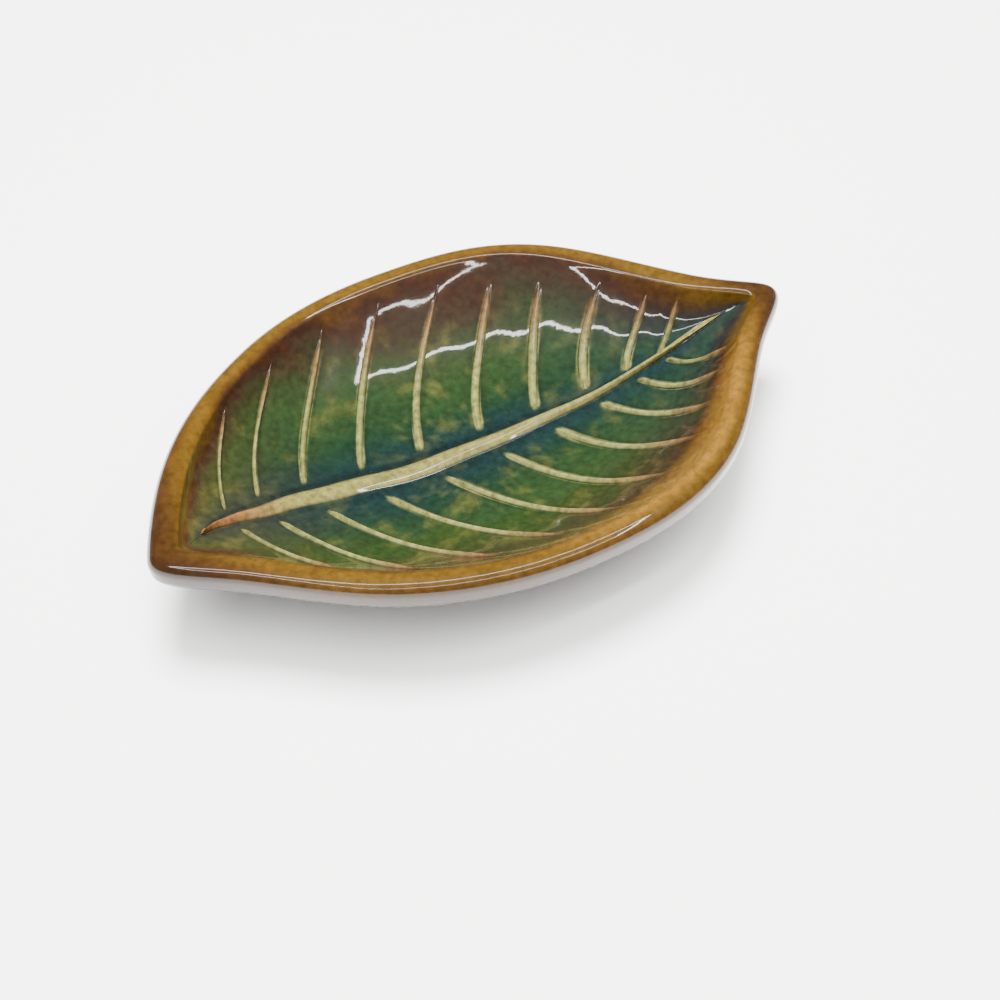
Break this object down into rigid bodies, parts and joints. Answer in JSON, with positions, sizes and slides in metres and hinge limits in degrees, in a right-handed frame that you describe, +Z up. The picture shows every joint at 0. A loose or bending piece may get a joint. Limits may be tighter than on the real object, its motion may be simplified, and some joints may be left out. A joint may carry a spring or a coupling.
{
  "type": "ring dish",
  "caption": "Small leaf-shaped dish in glazed ceramic, with a rolled rim, a raised midrib with side veins, and a low foot ring; it holds rings and other small things.",
  "frame": {"origin": "on the table, under the middle of the dish's box", "axes": "+X from the stem end to the leaf tip, +Y to the far edge, +Z up"},
  "size_m": [0.12, 0.0742, 0.02],
  "materials": {
    "body_glaze": "glossy glaze, deep green in the well, blue-green beside the midrib, purple-brown high on the walls and amber on the rim",
    "midrib_glaze": "glossy straw-olive glaze, thinner on the ridge",
    "vein_glaze": "glossy glaze that breaks pale yellow-green over the raised veins",
    "bare_clay": "bare fired clay, matt"
  },
  "bodies": {
    "root": {"dish_shell": "body_glaze", "foot_ring": "bare_clay", "midrib": "midrib_glaze", "far_vein_1": "vein_glaze", "far_vein_2": "vein_glaze", "far_vein_3": "vein_glaze", "far_vein_4": "vein_glaze", "far_vein_5": "vein_glaze", "far_vein_6": "vein_glaze", "far_vein_7": "vein_glaze", "far_vein_8": "vein_glaze", "far_vein_9": "vein_glaze", "far_vein_10": "vein_glaze", "near_vein_1": "vein_glaze", "near_vein_2": "vein_glaze", "near_vein_3": "vein_glaze", "near_vein_4": "vein_glaze", "near_vein_5": "vein_glaze", "near_vein_6": "vein_glaze", "near_vein_7": "vein_glaze", "near_vein_8": "vein_glaze", "near_vein_9": "vein_glaze", "near_vein_10": "vein_glaze"}
  },
  "joints": []
}
